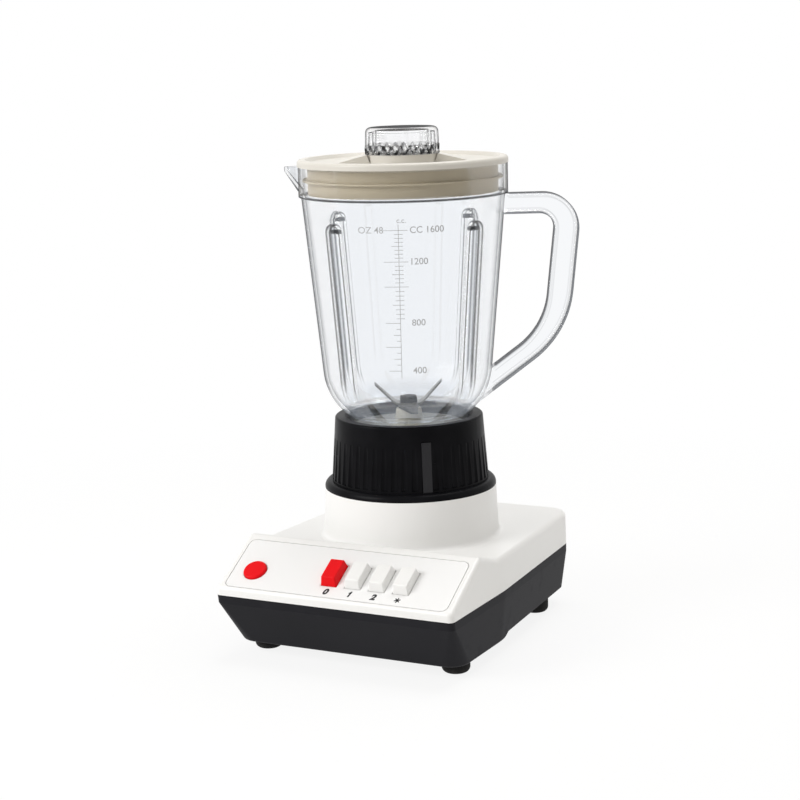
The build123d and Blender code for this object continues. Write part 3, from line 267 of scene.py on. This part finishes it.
# Fan and switches: black nylon, moulded, with faint flow marks and a low sheen.
# The fan turns with the shaft, and the switches stand behind the keys.
nylon, spot = begin_finish("black_nylon", {"Specular IOR Level": 0.4})
flow = spot.stretched((1, 2.5, 1)).noise(80, 4)
fleck = spot.noise(1300, 2)
end_finish(nylon, {
    "Base Color": flow.blend((0.014, 0.014, 0.015, 1), (0.028, 0.028, 0.03, 1)),
    "Roughness": 0.36 + flow * 0.16,
    "Normal": fleck.bump(0.3, 0.00004),
})
dress(nylon, "cooling_fan", "switch_block", "button_switch")


# Switch board: brown paper laminate, sawn to size, with its fibres showing along the sheet.
# It backs the switches that the keys work.
laminate, spot = begin_finish("board_laminate", {"Specular IOR Level": 0.4})
fibre = spot.stretched((1, 9, 9)).noise(240, 4)
end_finish(laminate, {
    "Base Color": fibre.blend((0.3, 0.15, 0.06, 1), (0.18, 0.08, 0.03, 1)),
    "Roughness": 0.42 + fibre * 0.2,
    "Normal": fibre.bump(0.3, 0.00005),
})
dress(laminate, "switch_board")


# Motor hangers: soft rubber rings that keep the motor's hum out of the casing, oily and dark.
# The seal round the cutter's shaft is of the same rubber.
soft, spot = begin_finish("hanger_rubber", {"Specular IOR Level": 0.3})
bloom = spot.noise(320, 5)
end_finish(soft, {
    "Base Color": bloom.blend((0.01, 0.01, 0.011, 1), (0.035, 0.034, 0.033, 1)),
    "Roughness": 0.55 + bloom * 0.25,
    "Normal": bloom.bump(0.35, 0.00006),
})
dress(soft, "motor_dampers", "shaft_seal")


# Upper casing: one glossy white moulding with the panel slope, the deck, the pedestal and its platform.
# The polish has a faint ripple, and a little dust settles low down by the seam.
white, spot = begin_finish("casing_white", {"Specular IOR Level": 0.45})
drift = spot.noise(8, 3)
ripple = spot.noise(130, 2)
flow = spot.stretched((1, 1, 0.3)).noise(36, 4)
dust = (1 - spot.part(2).fade(0.047, 0.056)) * spot.noise(320, 5).fade(0.45, 0.7)
tone = drift.blend((0.86, 0.86, 0.855, 1), (0.825, 0.823, 0.812, 1))
end_finish(white, {
    "Base Color": (dust * 0.1).blend(tone, (0.62, 0.61, 0.58, 1)),
    "Roughness": 0.24 + flow * 0.14 + dust * 0.12,
    "Normal": ripple.bump(0.12, 0.00006),
})
dress(white, "upper_housing")


# Control panel: a satin white plate let into the slope, with the speed marks printed below the keys.
# The ink is black and slightly uneven, screened on in one pass.
satin, spot = begin_finish("panel_satin", {"Specular IOR Level": 0.4})
drift = spot.noise(14, 3)
tooth = spot.noise(1500, 2)
end_finish(satin, {
    "Base Color": drift.blend((0.85, 0.852, 0.855, 1), (0.82, 0.82, 0.82, 1)),
    "Roughness": 0.38 + tooth * 0.14,
    "Normal": tooth.bump(0.14, 0.00004),
})
dress(satin, "control_panel")

ink, spot = begin_finish("panel_ink", {"Specular IOR Level": 0.3})
screen = spot.noise(2200, 3)
end_finish(ink, {
    "Base Color": screen.blend((0.006, 0.006, 0.007, 1), (0.03, 0.03, 0.032, 1)),
    "Roughness": 0.5 + screen * 0.25,
})

panel_foot = Vector((0, -0.1245, 0.0526))
panel_slope = radians(30)
panel_up = Vector((0, cos(panel_slope), sin(panel_slope)))
panel_out = Vector((0, -sin(panel_slope), cos(panel_slope)))
key_lane = [-0.0072, 0.01105, 0.0293, 0.04755]
mark_size = 0.0068
mark_slant = 0.22
mark_rise = 0.0074
stroke_width = 0.0009
ink_lift = 0.00006


def printed_word(word, size, slant, weight):
    """Flat lettering as a mesh, centred on its own middle and facing up."""
    bpy.ops.object.select_all(action="DESELECT")
    bpy.ops.object.text_add()
    lettering = bpy.context.object.data
    lettering.body = word
    lettering.size = size
    lettering.shear = slant
    lettering.offset = weight
    lettering.align_x = "CENTER"
    lettering.align_y = "CENTER"
    bpy.ops.object.convert(target="MESH")
    return bpy.context.object


def printed_bar(length, width, angle, place):
    """One flat stroke of a mark, lying face up."""
    bpy.ops.object.select_all(action="DESELECT")
    bpy.ops.mesh.primitive_plane_add(size=1, location=place, rotation=(0, 0, radians(angle)))
    bpy.context.object.scale = (length, width, 1)
    bpy.ops.object.transform_apply(location=True, rotation=True, scale=True)
    return bpy.context.object


def joined(strokes):
    """Several strokes made one mesh."""
    bpy.ops.object.select_all(action="DESELECT")
    for stroke in strokes:
        stroke.select_set(True)
    bpy.context.view_layer.objects.active = strokes[0]
    bpy.ops.object.join()
    return strokes[0]


key_marks = [
    printed_word("0", mark_size, mark_slant, 0.0004),
    joined([
        printed_word("1", mark_size, mark_slant, 0.0003),
        printed_bar(0.0018, stroke_width, 35, (0.0001, 0.0016, 0)),
    ]),
    printed_word("2", mark_size, mark_slant, 0.0004),
    joined([printed_bar(0.0046, stroke_width, 80 + 60 * arm, (0, 0, 0)) for arm in range(3)]),
]
for lane, mark in zip(key_lane, key_marks):
    mark.name = "key_mark_" + str(key_marks.index(mark))
    mark.rotation_euler = (panel_slope, 0, 0)
    mark.location = panel_foot + Vector((lane, 0, 0)) + panel_up * mark_rise + panel_out * ink_lift
    bpy.ops.object.select_all(action="DESELECT")
    mark.select_set(True)
    bpy.context.view_layer.objects.active = mark
    bpy.ops.object.transform_apply(location=True, rotation=True, scale=True)
    mark.data.materials.append(ink)
    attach(mark, "base")


# Keys and button: glossy plastic, one red and three white piano keys in a row, and a round red button.
# Fingers polish the tops and leave them a shade smoother than the sides.
red, spot = begin_finish("key_red", {"Specular IOR Level": 0.07})
mottle = spot.noise(90, 4)
skin = spot.noise(900, 2)
end_finish(red, {
    "Base Color": mottle.blend((0.82, 0.008, 0.012, 1), (0.7, 0.005, 0.009, 1)),
    "Roughness": 0.26 + skin * 0.12,
    "Normal": skin.bump(0.12, 0.00005),
})
dress(red, "key_off", "round_button")

ivory, spot = begin_finish("key_white", {"Specular IOR Level": 0.5})
mottle = spot.noise(80, 4)
skin = spot.noise(900, 2)
end_finish(ivory, {
    "Base Color": mottle.blend((0.85, 0.85, 0.845, 1), (0.8, 0.798, 0.785, 1)),
    "Roughness": 0.28 + skin * 0.12,
    "Normal": skin.bump(0.12, 0.00005),
})
dress(ivory, "key_low", "key_high", "key_pulse")


# Couplings: six-lobed drive of tough black plastic on the motor shaft, and its socket under the jar.
# The lobes are rubbed dull where they bear on each other.
drive, spot = begin_finish("coupling_black", {"Specular IOR Level": 0.35})
bearing = spot.noise(220, 5).fade(0.45, 0.7)
pit = spot.noise(1400, 3)
end_finish(drive, {
    "Base Color": bearing.blend((0.012, 0.012, 0.013, 1), (0.045, 0.044, 0.043, 1)),
    "Roughness": 0.42 + bearing * 0.25,
    "Normal": pit.bump(0.4, 0.00006),
})
dress(drive, "drive_coupling", "driven_coupling")


# Collar: black plastic ring with shallow ribs and three grip bars, screwed up on the jar's neck.
# The satin skin is rubbed brighter in patches by the hand that turns it, and the grip bars are painted
# paler as a painted highlight.
collar, spot = begin_finish("collar_black", {"Specular IOR Level": 0.045})
skin = spot.noise(1700, 2)
hand = spot.noise(38, 4).fade(0.4, 0.7)
across, along, height = spot.axes()
skirt_low = 0.1117
skirt_low_radius = 0.0564
skirt_taper = 0.0731
skirt = skirt_low_radius - (height - skirt_low) * skirt_taper
proud = across.span(along) - skirt
# Painted highlight: the grip bars are coloured paler than the ring, for the light that catches their
# raised faces.
bar = proud.fade(0.0007, 0.0012) * height.fade(0.1122, 0.113)
rubbed = hand.blend((0.003, 0.003, 0.0038, 1), (0.0065, 0.0065, 0.0078, 1))
end_finish(collar, {
    "Base Color": bar.blend(rubbed, (0.03, 0.03, 0.033, 1)),
    "Roughness": 0.3 + skin * 0.12 - hand * 0.06,
    "Normal": skin.bump(0.22, 0.00004),
})
dress(collar, "jar_collar")


# Blade carrier and gasket: the jar's floor, moulded in cream plastic, on a ring of soft grey rubber.
# Food and washing have left it a little cloudy, and the floor away from the hub is painted grey as painted
# shadow.
floor_cream, spot = begin_finish("carrier_cream", {"Specular IOR Level": 0.45})
cloud = spot.noise(55, 5)
wash = spot.noise(500, 3)
# Painted shadow: away from the hub the floor is darkened to grey, for the shade the jar's wall casts on
# it.
painted_shade_off_hub = (spot.part(0) * spot.part(0) + spot.part(1) * spot.part(1)).fade(0.0001, 0.00018)
end_finish(floor_cream, {
    "Base Color": (cloud * 0.4 + painted_shade_off_hub * 0.6).blend((0.74, 0.69, 0.56, 1), (0.4, 0.4, 0.39, 1)),
    "Roughness": 0.3 + wash * 0.18,
    "Normal": wash.bump(0.15, 0.00005),
})
dress(floor_cream, "blade_carrier")

gasket, spot = begin_finish("seal_rubber", {"Specular IOR Level": 0.35})
bloom = spot.noise(400, 4)
end_finish(gasket, {
    "Base Color": bloom.blend((0.5, 0.49, 0.46, 1), (0.4, 0.39, 0.36, 1)),
    "Roughness": 0.5 + bloom * 0.2,
    "Normal": bloom.bump(0.25, 0.00005),
})
dress(gasket, "jar_gasket")


# Cutter: two crossed blades stamped from stainless strip, ground bright along their length.
# A washer lies under them and a black domed nut clamps them to the shaft.
blade, spot = begin_finish("blade_steel", {"Metallic": 1.0})
grind = spot.stretched((1, 1, 0.15)).noise(1300, 4)
stain = spot.noise(110, 4)
end_finish(blade, {
    "Base Color": stain.blend((0.24, 0.235, 0.215, 1), (0.15, 0.145, 0.13, 1)),
    "Roughness": 0.2 + grind * 0.16,
    "Normal": grind.bump(0.25, 0.00003),
})
dress(blade, "lower_blade", "upper_blade", "blade_washer")

nut, spot = begin_finish("nut_black", {"Specular IOR Level": 0.05})
chip = spot.noise(600, 4)
end_finish(nut, {
    "Base Color": chip.blend((0.008, 0.008, 0.009, 1), (0.022, 0.021, 0.02, 1)),
    "Roughness": 0.24 + chip * 0.16,
    "Normal": chip.bump(0.15, 0.00005),
})
dress(nut, "blade_nut")


# Jar: clear plastic with four deep flutes, a pouring lip and a handle, all in one moulding.
# The wall is painted dark where the eye skims along it and in lines where it is bent sharply: at the
# flutes, the rim band, the spout and the handle's rounded edges, as painted shade for bent clear plastic.
# Hair scratches dull its gloss a little.
clear, spot = begin_finish("jar_clear", {"Transmission Weight": 1.0, "IOR": 1.46})


def mix_in_edge_shade(material, factor, colour):
    """Mixes a matt dark shader over the clear one by a factor: painted shade on a clear part's edges."""
    tree = material.node_tree
    body = Shade(tree, tree.nodes["Principled BSDF"].outputs[0])
    edge = body.node("BsdfPrincipled", {"Base Color": colour, "Roughness": 0.6, "Specular IOR Level": 0.0})
    mixed = body.node("MixShader", {0: factor, 1: body, 2: edge})
    tree.links.new(mixed.socket, tree.nodes["Material Output"].inputs["Surface"])


across, along, height = spot.axes()
jar_turn = radians(27)
flute_turn = jar_turn + radians(45)
shoulder_height = 0.1902
shoulder_radius = 0.0602
wall_taper = 0.0934
flute_top = 0.293
flute_half_width = 0.0063
flute_cap_height = 0.2945
rim_height = 0.3158
reach = across * cos(jar_turn) + along * sin(jar_turn)
wall = shoulder_radius + (height - shoulder_height) * wall_taper
thin = (abs(reach) - wall).fade(0.0012, 0.0026)
inside = (wall - across.span(along)).fade(0.001, 0.002)
low = 1 - height.fade(0.16, 0.176)
facing = spot.node("LayerWeight", {"Blend": 0.5}, output="Facing")
skim = facing.fade(0.68 - thin * 0.34, 0.97 - thin * 0.17) ** 1.3 * (1 - inside * 0.55)
off_first = abs(across * cos(flute_turn) + along * sin(flute_turn))
off_second = abs(along * cos(flute_turn) - across * sin(flute_turn))
off_flute = off_first.least(off_second)
over_top = (height - flute_top).most(0)
from_flute = off_flute.span(over_top)
flute_line = 1 - abs(from_flute - flute_half_width).fade(0.0001, 0.001)
flute_edge = flute_line * height.fade(0.172, 0.19) * (1 - thin)
flute_cap_line = 1 - abs(height - flute_cap_height).fade(0.0011, 0.0018)
flute_cap = flute_cap_line * (1 - off_flute.fade(0.0034, 0.0044)) * (1 - thin)
grip_line = (1 - abs(facing - 0.1).fade(0.01, 0.06)) * thin
rim_edge = (1 - abs(height - rim_height).fade(0.0003, 0.0011)) * (1 - thin)
hair = spot.stretched((1, 1, 7)).noise(420, 5).fade(0.52, 0.8)
swirl = spot.noise(26, 2)
# Painted shade: the tint turns darker and the wall less clear where the eye skims along it.
end_finish(clear, {
    "Base Color": skim.blend((0.6, 0.69, 0.82, 1), (0.42, 0.46, 0.55, 1)),
    "Roughness": 0.012 + hair * 0.05,
    "Alpha": 0.12 + skim * 0.6 + low * 0.3,
    "Normal": swirl.bump(0.05, 0.0004),
})
# Painted shade: a matt dark shader over the skimming wall and in lines along the flute edges and tops, the
# rim band and the handle's edges.
painted_edge_shade = skim.most(flute_edge * 0.88).most(flute_cap * 0.85).most(rim_edge * 0.75).most(grip_line * 0.2)
mix_in_edge_shade(clear, 0.01 + painted_edge_shade * (0.92 - thin * 0.14), (0.02, 0.021, 0.025, 1))
dress(clear, "jar")


# Jar scale: pale grey ink on the wall that faces the cook, with a long line, ticks and cup marks.
# It is drawn flat in front of the jar and then laid onto the wall.
scale_ink, spot = begin_finish("scale_ink", {"Specular IOR Level": 0.3})
screen = spot.noise(900, 3)
end_finish(scale_ink, {
    "Base Color": screen.blend((0.4, 0.41, 0.425, 1), (0.47, 0.48, 0.49, 1)),
    "Roughness": 0.5 + screen * 0.2,
})

scale_x = -0.0042
scale_front = -0.085
level_1600 = 0.2966
level_1200 = 0.2751
level_800 = 0.2329
level_400 = 0.1994
scale_rows = [
    (level_1600, 8, True),
    (level_1200, 6, True),
    (0.258, 8, True),
    (level_800, 4, False),
    (0.2162, 4, False),
]
line_low = 0.1943
line_high = 0.3006
line_half = 0.00022
tick_half = 0.0002
row_tick = 0.0102
middle_tick = 0.0049
short_tick = 0.0029
last_tick = 0.0085
right_row_tick = 0.0062
right_short_tick = 0.003
number_size = 0.0063
number_gap = 0.0078
ounce_gap = 0.027
scale_pieces = []


def scale_bar(left, right, low, high):
    """One flat bar of ink in front of the jar, with enough faces to follow the wall."""
    bpy.ops.object.select_all(action="DESELECT")
    bpy.ops.mesh.primitive_plane_add(size=1, rotation=(radians(90), 0, 0))
    bar = bpy.context.object
    bar.scale = (right - left, high - low, 1)
    bar.location = ((left + right) / 2, scale_front, (low + high) / 2)
    bpy.ops.object.transform_apply(location=True, rotation=True, scale=True)
    bpy.ops.object.mode_set(mode="EDIT")
    bpy.ops.mesh.select_all(action="SELECT")
    bpy.ops.mesh.subdivide(number_cuts=6)
    bpy.ops.object.mode_set(mode="OBJECT")
    scale_pieces.append(bar)


def scale_word(word, size, left, height):
    """A number or word with its left end at one place."""
    mark = printed_word(word, size, 0.0, 0.00004)
    mark.rotation_euler = (radians(90), 0, 0)
    mark.location = (left + mark.dimensions.x / 2, scale_front, height)
    bpy.ops.object.transform_apply(location=True, rotation=True, scale=True)
    scale_pieces.append(mark)


scale_bar(scale_x - line_half, scale_x + line_half, line_low, line_high)
lows = [row[0] for row in scale_rows[1:]] + [level_400]
for (row, steps, both), low in zip(scale_rows, lows):
    for step in range(steps):
        level = row + (low - row) * step / steps
        reach = row_tick if step == 0 else middle_tick if 2 * step == steps else short_tick
        right = right_row_tick if step == 0 else right_short_tick
        scale_bar(scale_x - reach, scale_x + (right if both else 0), level - tick_half, level + tick_half)
scale_bar(scale_x - last_tick, scale_x, level_400 - tick_half, level_400 + tick_half)
for word, level in [("CC 1600", level_1600), ("1200", level_1200), ("800", level_800), ("400", level_400)]:
    scale_word(word, number_size, scale_x + number_gap, level)
scale_word("OZ 48", number_size, scale_x - ounce_gap, level_1600)
scale_word("c.c.", 0.005, scale_x - 0.001, 0.3032)

jar_scale = joined(scale_pieces)
jar_scale.name = "jar_scale"
jar_scale.rotation_euler = (0, 0, jar_turn)
wrap = jar_scale.modifiers.new("wrap", "SHRINKWRAP")
wrap.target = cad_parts["jar"]
wrap.wrap_method = "PROJECT"
wrap.wrap_mode = "ABOVE_SURFACE"
wrap.use_project_y = True
wrap.use_positive_direction = True
wrap.offset = 0.00012
bpy.ops.object.modifier_apply(modifier="wrap")
bpy.ops.object.transform_apply(location=True, rotation=True, scale=True)
jar_scale.data.materials.append(scale_ink)
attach(jar_scale, "jar")


# Lid: soft cream plastic, moulded with a rolled lip, a dished top and a skirt that plugs the jar.
# The face is waxy, with faint drift in its colour and small washing marks, and the skirt below the rim is
# painted tan as painted shade.
cream, spot = begin_finish("lid_cream", {"Specular IOR Level": 0.35})
drift = spot.noise(20, 3)
wash = spot.noise(420, 4)
# Painted shade: the skirt below the rim is coloured tan for the shade it sits in under the lip.
skirt = 1 - spot.part(2).fade(0.3345, 0.337)
face = drift.blend((0.645, 0.622, 0.572, 1), (0.605, 0.578, 0.525, 1))
end_finish(cream, {
    "Base Color": skirt.blend(face, (0.5, 0.43, 0.31, 1)),
    "Roughness": 0.28 + wash * 0.16,
    "Normal": wash.bump(0.12, 0.00006),
})
dress(cream, "lid", "lid_seal")


# Measuring cap: a clear knob with slanted cuts round its lower half, and a cup that plugs the lid.
# The cuts are ridges of their own, with dark flecks and streaks painted over them as painted shade, and
# the top is plain and polished.
cut, spot = begin_finish("cap_clear", {"Transmission Weight": 1.0, "IOR": 1.48})
cut_count = 26
across, along, height = spot.axes()
angle = spot.math("ARCTAN2", along, across)
band = (1 - height.fade(0.3493, 0.3511)) * height.fade(0.3438, 0.3442)
rising = spot.math("SINE", angle * cut_count + height * 900, 0)
falling = spot.math("SINE", angle * cut_count - height * 900, 0)
facet = rising.most(falling)
relief = (facet * band).bump(1.0, 0.0012)
outer = (across * across + along * along).fade(0.0006, 0.00062)
spark = spot.node("TexVoronoi", {"Vector": spot, "Scale": 420.0}, output="Color").fade(0.42, 0.6)
streak = spot.stretched((1, 1, 0.12)).noise(320, 3).fade(0.5, 0.68)
facing = spot.node("LayerWeight", {"Blend": 0.5}, output="Facing")
skim = facing.fade(0.6, 0.96) ** 1.5
end_finish(cut, {
    "Base Color": skim.blend((0.86, 0.87, 0.9, 1), (0.5, 0.51, 0.55, 1)),
    "Roughness": 0.012 + spot.noise(300, 4) * 0.04,
    "Alpha": 0.1 + skim * 0.5,
    "Normal": relief,
})
# Painted shade: dark flecks over the cut band, faint dark streaks round it, and dark where the eye skims
# the cap, where the tint darkens too.
painted_facet_shade = band * spark * facet.fade(-0.2, 0.5) * outer
mix_in_edge_shade(cut, skim.most(painted_facet_shade * 0.85).most(streak * outer * 0.06) * 0.92, (0.015, 0.015, 0.017, 1))
dress(cut, "measuring_cap")

cut_radius = 0.0259
cut_middle = 0.3472
cut_length = 0.0068
ridge_radius = 0.0004
cut_lean = radians(25)
cap_strokes = []
for number in range(2 * cut_count):
    around = radians(180) * number / cut_count
    lean = cut_lean if number % 2 else -cut_lean
    place = (cut_radius * cos(around), cut_radius * sin(around), cut_middle)
    bpy.ops.object.select_all(action="DESELECT")
    bpy.ops.mesh.primitive_cylinder_add(
        vertices=4, radius=ridge_radius, depth=cut_length, location=place, rotation=(lean, 0, around)
    )
    bpy.ops.object.transform_apply(location=True, rotation=True, scale=True)
    cap_strokes.append(bpy.context.object)
cap_cuts = joined(cap_strokes)
cap_cuts.name = "cap_cuts"
cap_cuts.data.materials.append(cut)
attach(cap_cuts, "cap")


# Studio: the camera of the photograph, a pale floor that runs off to white, and soft lamps.
# The big lamp is on the left, so the right-hand sides fall into warm grey.
bpy.context.scene.view_settings.view_transform = "Standard"
turn, tilt, roll = radians(27.15), radians(10.62), radians(1.52)
view_back = Vector((sin(turn) * cos(tilt), -cos(turn) * cos(tilt), sin(tilt)))
view_right = Vector((cos(turn), sin(turn), 0))
view_up = view_back.cross(view_right)
camera_x = view_right * cos(roll) - view_up * sin(roll)
camera_y = view_right * sin(roll) + view_up * cos(roll)
bpy.ops.object.camera_add()
camera = bpy.context.object
camera.data.lens = 87.75
camera.data.sensor_width = 36
camera.data.clip_end = 50
camera_place = Matrix.Translation((0.6221, -1.2266, 0.4258))
camera.matrix_world = camera_place @ Matrix((camera_x, camera_y, view_back)).transposed().to_4x4()
bpy.context.scene.camera = camera

bpy.ops.object.select_all(action="DESELECT")
bpy.ops.mesh.primitive_plane_add(size=40)
table = bpy.context.object
table.name = "studio_floor"
paper, spot = begin_finish("floor_paper", {"Specular IOR Level": 0.1})
pulp = spot.noise(60, 3)
end_finish(paper, {
    "Base Color": pulp.blend((0.9, 0.9, 0.9, 1), (0.88, 0.88, 0.88, 1)),
    "Roughness": 0.7 + pulp * 0.1,
})
shown = spot.direct_rays()
glow = spot.node("Emission", {"Color": (1, 1, 1, 1), "Strength": 1.0})
body = Shade(paper.node_tree, paper.node_tree.nodes["Principled BSDF"].outputs[0])
away = spot.node("VectorMath", {0: spot}, output="Value", operation="LENGTH").fade(0.3, 0.75)
lit = spot.node("MixShader", {0: shown * (0.87 + away * 0.13), 1: body, 2: glow})
paper.node_tree.links.new(lit.socket, paper.node_tree.nodes["Material Output"].inputs["Surface"])
table.data.materials.append(paper)

sky = bpy.data.worlds.new("studio_sky")
sky.use_nodes = True
bpy.context.scene.world = sky
open_sky = Shade(sky.node_tree).direct_rays()
sky_light = sky.node_tree.nodes["Background"]
sky_colour = open_sky.blend((1, 0.96, 0.89, 1), (1, 1, 1, 1))
sky.node_tree.links.new(sky_colour.socket, sky_light.inputs["Color"])
sky.node_tree.links.new((0.42 + open_sky * 0.58).socket, sky_light.inputs["Strength"])

lamp_target = Vector((0, 0, 0.17))
for name, place, size, power in [
    ("lamp_left", (-0.9, -1.25, 0.95), 0.9, 18.5),
    ("lamp_top", (0.15, 0.3, 1.55), 0.9, 13.5),
    ("lamp_right", (1.5, 0.1, 0.7), 0.6, 1.0),
]:
    aim = (lamp_target - Vector(place)).to_track_quat("-Z", "Y").to_euler()
    bpy.ops.object.light_add(type="AREA", location=place, rotation=aim)
    lamp = bpy.context.object
    lamp.name = name
    lamp.data.size = size
    lamp.data.energy = power
